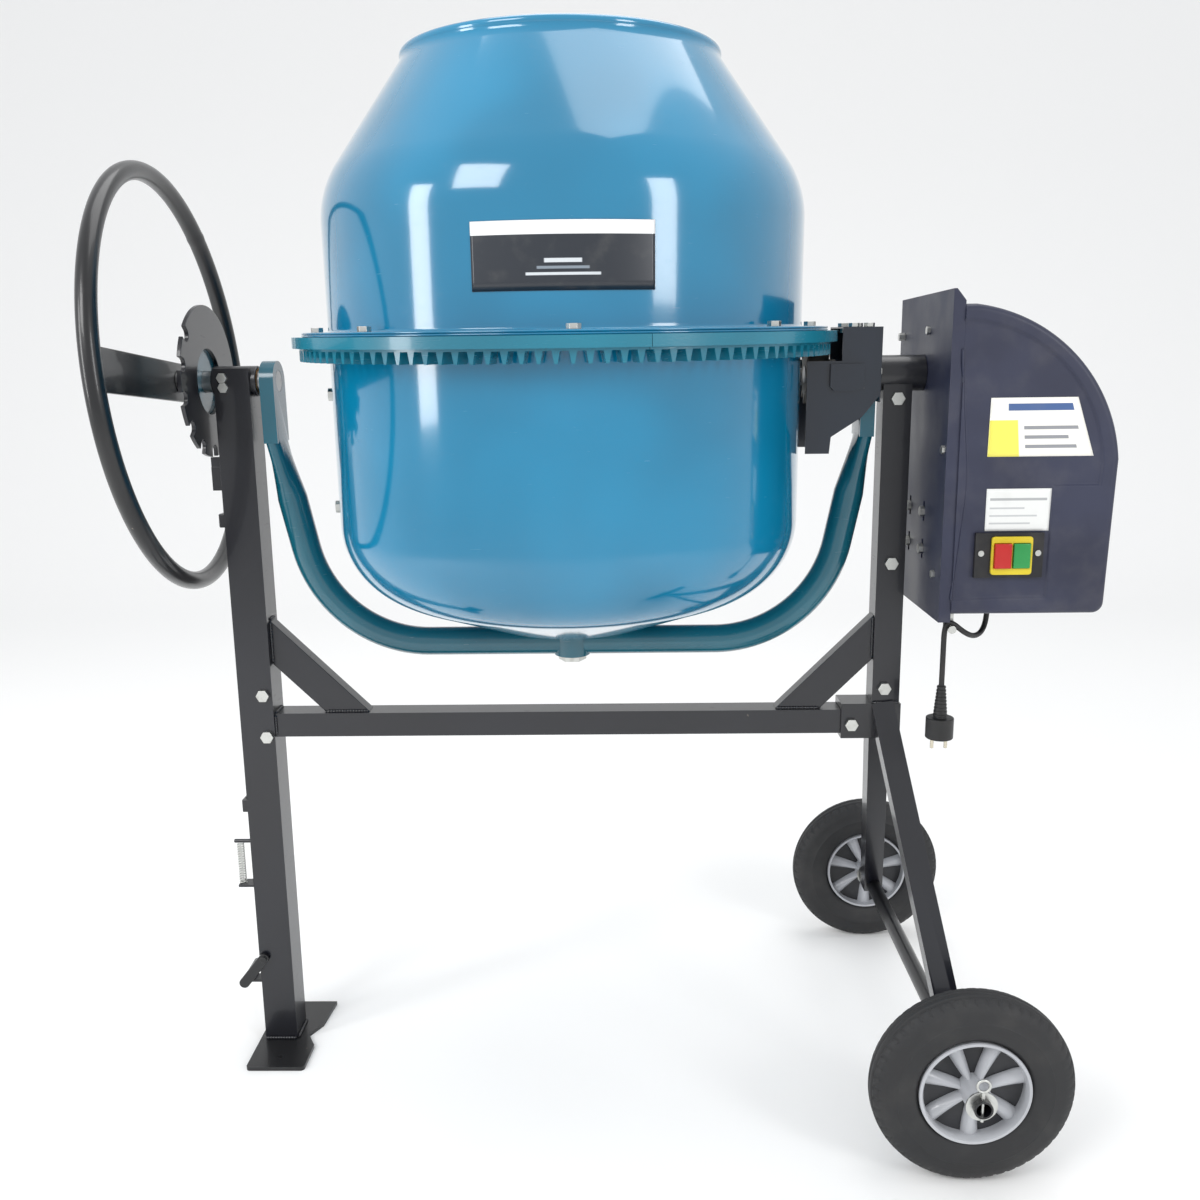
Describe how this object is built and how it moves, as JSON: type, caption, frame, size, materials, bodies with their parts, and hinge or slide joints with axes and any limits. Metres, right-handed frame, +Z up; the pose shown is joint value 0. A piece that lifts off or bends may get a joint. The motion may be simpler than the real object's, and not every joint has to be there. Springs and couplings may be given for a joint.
{
  "type": "concrete mixer",
  "caption": "Upright electric concrete mixer: tilting steel drum in a tube yoke, ring gear, side motor housing, handwheel, and a post frame on two wheels.",
  "frame": {"origin": "on the ground under the middle of the machine's overall box", "axes": "+X from the handwheel to the motor housing, +Y to the rear, +Z up"},
  "size_m": [1.3186, 0.752, 1.4524],
  "materials": {
    "drum_enamel": "gloss enamel on pressed steel",
    "yoke_enamel": "gloss enamel on steel tube",
    "frame_enamel": "black enamel on welded steel",
    "cover_plastic": "fine-grained moulding",
    "cast_gear": "as cast, painted, teeth worn bright",
    "zinc_steel": "bright zinc plate",
    "turned_steel": "turned, lightly oiled",
    "motor_aluminium": "die-cast",
    "black_plastic": "moulded",
    "yellow_plastic": "moulded",
    "red_plastic": "moulded",
    "green_plastic": "moulded",
    "printed_film": "printed film, no lettering",
    "tyre_rubber": "solid rubber",
    "rim_paint": "silver paint",
    "belt_rubber": "ribbed belt",
    "cord_rubber": "rubber sheath",
    "nickel_brass": "nickel plated",
    "bronze": "sintered bronze"
  },
  "bodies": {
    "frame": {"left_post": "frame_enamel", "right_post": "frame_enamel", "foot_plate": "frame_enamel", "cross_beam": "frame_enamel", "left_brace": "frame_enamel", "right_brace": "frame_enamel", "leg_head": "frame_enamel", "front_leg": "frame_enamel", "rear_leg": "frame_enamel", "axle": "frame_enamel", "frame_bolts": "zinc_steel", "left_bearing_sleeve": "frame_enamel", "right_bearing_sleeve": "frame_enamel", "trunnion_bushes": "bronze", "wheel_retainers": "zinc_steel", "drive_belt": "belt_rubber", "motor_body": "motor_aluminium", "back_pan": "frame_enamel", "motor_cover": "cover_plastic", "switch_base": "black_plastic", "switch_frame": "yellow_plastic", "housing_bolts": "zinc_steel", "cover_labels": "printed_film", "latch_guides": "frame_enamel", "latch_spring": "turned_steel", "power_cord": "cord_rubber", "cable_gland": "black_plastic", "cord_hook": "zinc_steel", "plug_body": "cord_rubber", "plug_pins": "nickel_brass"},
    "yoke": {"yoke_tube": "yoke_enamel", "trunnions": "turned_steel", "handwheel": "frame_enamel", "hub_disc": "yoke_enamel", "lock_disc": "frame_enamel", "spindle_housing": "yoke_enamel", "spindle_bearings": "turned_steel", "gear_guard": "frame_enamel", "guard_bolts": "zinc_steel"},
    "drum": {"drum_lower": "drum_enamel", "drum_upper": "drum_enamel", "ring_gear": "cast_gear", "flange_bolts": "zinc_steel", "mixing_blades": "drum_enamel", "drum_bolts": "zinc_steel", "drum_spindle": "turned_steel", "spindle_nut": "zinc_steel", "drum_label": "printed_film"},
    "drive": {"pinion": "cast_gear", "drive_shaft": "turned_steel", "large_pulley": "black_plastic"},
    "motor_rotor": {"motor_pulley": "turned_steel"},
    "front_wheel": {"front_tyre": "tyre_rubber", "front_rim": "rim_paint"},
    "rear_wheel": {"rear_tyre": "tyre_rubber", "rear_rim": "rim_paint"},
    "pedal": {"pedal": "frame_enamel"},
    "latch": {"latch_strap": "frame_enamel"},
    "stop_button": {"stop_button": "red_plastic"},
    "start_button": {"start_button": "green_plastic"}
  },
  "joints": [
    {"name": "drum_tilt", "type": "hinge", "parent": "frame", "child": "yoke", "pos_m": [0, 0, 1.027], "axis": [1, 0, 0], "range_deg": [-52, 130]},
    {"name": "drum_spin", "type": "hinge", "parent": "yoke", "child": "drum", "pos_m": [-0.06767, 0, 1.027], "axis": [0, -0.0323, 0.9995], "continuous": true},
    {"name": "drive_spin", "type": "hinge", "parent": "yoke", "child": "drive", "pos_m": [0.33233, 0, 1.027], "axis": [1, 0, 0], "continuous": true},
    {"name": "motor_spin", "type": "hinge", "parent": "frame", "child": "motor_rotor", "pos_m": [0.46433, 0, 0.815], "axis": [1, 0, 0], "continuous": true},
    {"name": "front_wheel_spin", "type": "hinge", "parent": "frame", "child": "front_wheel", "pos_m": [0.45033, -0.322, 0.131], "axis": [0, 1, 0], "continuous": true},
    {"name": "rear_wheel_spin", "type": "hinge", "parent": "frame", "child": "rear_wheel", "pos_m": [0.45033, 0.322, 0.131], "axis": [0, 1, 0], "continuous": true},
    {"name": "latch_slide", "type": "slide", "parent": "frame", "child": "latch", "axis": [0, 0, 1], "range_m": [-0.004, 0.014], "stiffness_N_per_m": 2000, "springref_m": 0.0042, "deforming": ["latch_spring"]},
    {"name": "pedal_swing", "type": "hinge", "parent": "frame", "child": "pedal", "pos_m": [-0.55466, 0, 0.146], "axis": [0, 1, 0], "range_deg": [-8, 25]},
    {"name": "stop_button_press", "type": "slide", "parent": "frame", "child": "stop_button", "axis": [0, 1, 0], "range_m": [0, 0.003], "stiffness_N_per_m": 400},
    {"name": "start_button_press", "type": "slide", "parent": "frame", "child": "start_button", "axis": [0, 1, 0], "range_m": [0, 0.003], "stiffness_N_per_m": 400}
  ],
  "couplings": [
    {"joint": "drive_spin", "follows": "drum_spin", "ratio": -10},
    {"joint": "motor_spin", "follows": "drum_spin", "ratio": -39.92},
    {"joint": "pedal_swing", "follows": "latch_slide", "rad_per_m": 30.3}
  ]
}
